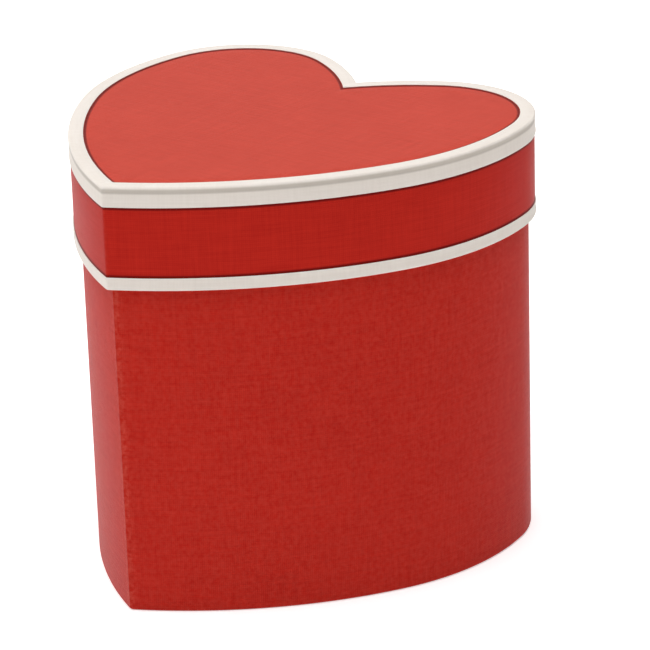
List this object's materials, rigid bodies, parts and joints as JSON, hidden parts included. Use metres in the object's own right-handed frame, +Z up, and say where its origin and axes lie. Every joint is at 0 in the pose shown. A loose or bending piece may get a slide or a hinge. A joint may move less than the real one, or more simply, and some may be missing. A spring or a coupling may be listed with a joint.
{
  "type": "wind-up music box",
  "caption": "Heart-shaped cloth-covered keepsake box with a lift-off lid and a wind-up comb music movement under its false floor.",
  "frame": {"origin": "on the table, under the middle of the lid's outline, with the lid closed", "axes": "+Z up; the heart's cleft points to +Y and its point to -Y; the heart is symmetric about the plane X = 0"},
  "size_m": [0.1118, 0.1102, 0.107],
  "materials": {
    "greyboard": "dense grey-brown bookbinder's board",
    "red_bookcloth": "fine plain-weave red bookcloth, matt",
    "cream_tape": "finely woven cream edging tape, matt",
    "cream_paper": "uncoated cream lining paper",
    "red_velvet": "short red flock",
    "cast_zinc": "as-cast zinc alloy, satin",
    "plated_sheet": "nickel-plated pressed steel",
    "comb_steel": "ground tempered steel",
    "spring_steel": "blued spring steel",
    "steel": "bright plated steel",
    "brass": "machined brass",
    "nylon": "moulded natural nylon"
  },
  "bodies": {
    "box": {"base_wall_board": "greyboard", "base_floor_board": "greyboard", "base_wall_cover": "red_bookcloth", "base_lining": "cream_paper", "underside_sheet": "cream_paper", "platform_riser": "greyboard", "platform_board": "greyboard", "platform_cover": "red_velvet", "bedplate": "cast_zinc", "spring_housing": "brass", "mainspring": "spring_steel", "drum_bridge": "plated_sheet", "drum_bearing": "plated_sheet", "comb": "comb_steel", "governor_frame": "plated_sheet", "bridge_screw_1": "steel", "bridge_screw_2": "steel", "bearing_screw_1": "steel", "bearing_screw_2": "steel", "governor_screw_1": "steel", "governor_screw_2": "steel", "comb_screw_1": "steel", "comb_screw_2": "steel", "base_screw_1": "steel", "base_screw_2": "steel", "base_screw_3": "steel", "base_washer_1": "steel", "base_washer_2": "steel", "base_washer_3": "steel"},
    "lid": {"lid_top_board": "greyboard", "lid_skirt_board": "greyboard", "lid_top_cover": "red_bookcloth", "lid_skirt_cover": "red_bookcloth", "lid_top_tape": "cream_tape", "lid_edge_tape": "cream_tape", "lid_lining": "cream_paper"},
    "great_wheel": {"great_wheel": "brass", "click_spring": "spring_steel", "click_rivet": "steel"},
    "winding": {"winding_arbor": "steel", "ratchet_wheel": "steel", "winding_key": "brass"},
    "drum": {"drum_arbor": "steel", "pinned_drum": "brass", "drum_pinion": "brass", "drum_wheel": "brass"},
    "governor": {"governor_arbor": "steel", "governor_pinion": "brass", "governor_wheel": "nylon"},
    "worm": {"worm_shaft": "steel", "fan": "nylon"}
  },
  "joints": [
    {"name": "lid_lift", "type": "slide", "parent": "box", "child": "lid", "axis": [0, 0, 1], "range_m": [0, 0.08]},
    {"name": "music_play", "type": "hinge", "parent": "box", "child": "great_wheel", "pos_m": [-0.0165, 0.008, 0.0287], "axis": [0, 0, 1], "continuous": true},
    {"name": "key_winding", "type": "hinge", "parent": "great_wheel", "child": "winding", "pos_m": [-0.0165, 0.008, 0.0287], "axis": [0, 0, 1], "continuous": true},
    {"name": "drum_turn", "type": "hinge", "parent": "box", "child": "drum", "pos_m": [0, 0.008, 0.0335], "axis": [1, 0, 0], "continuous": true},
    {"name": "governor_turn", "type": "hinge", "parent": "box", "child": "governor", "pos_m": [0, 0.0176, 0.0263], "axis": [1, 0, 0], "continuous": true},
    {"name": "fan_spin", "type": "hinge", "parent": "box", "child": "worm", "pos_m": [0.0251, 0.0251, 0.0263], "axis": [0, 0, 1], "continuous": true}
  ],
  "couplings": [
    {"joint": "drum_turn", "follows": "music_play", "ratio": 3},
    {"joint": "governor_turn", "follows": "music_play", "ratio": -15},
    {"joint": "fan_spin", "follows": "music_play", "ratio": 360}
  ]
}
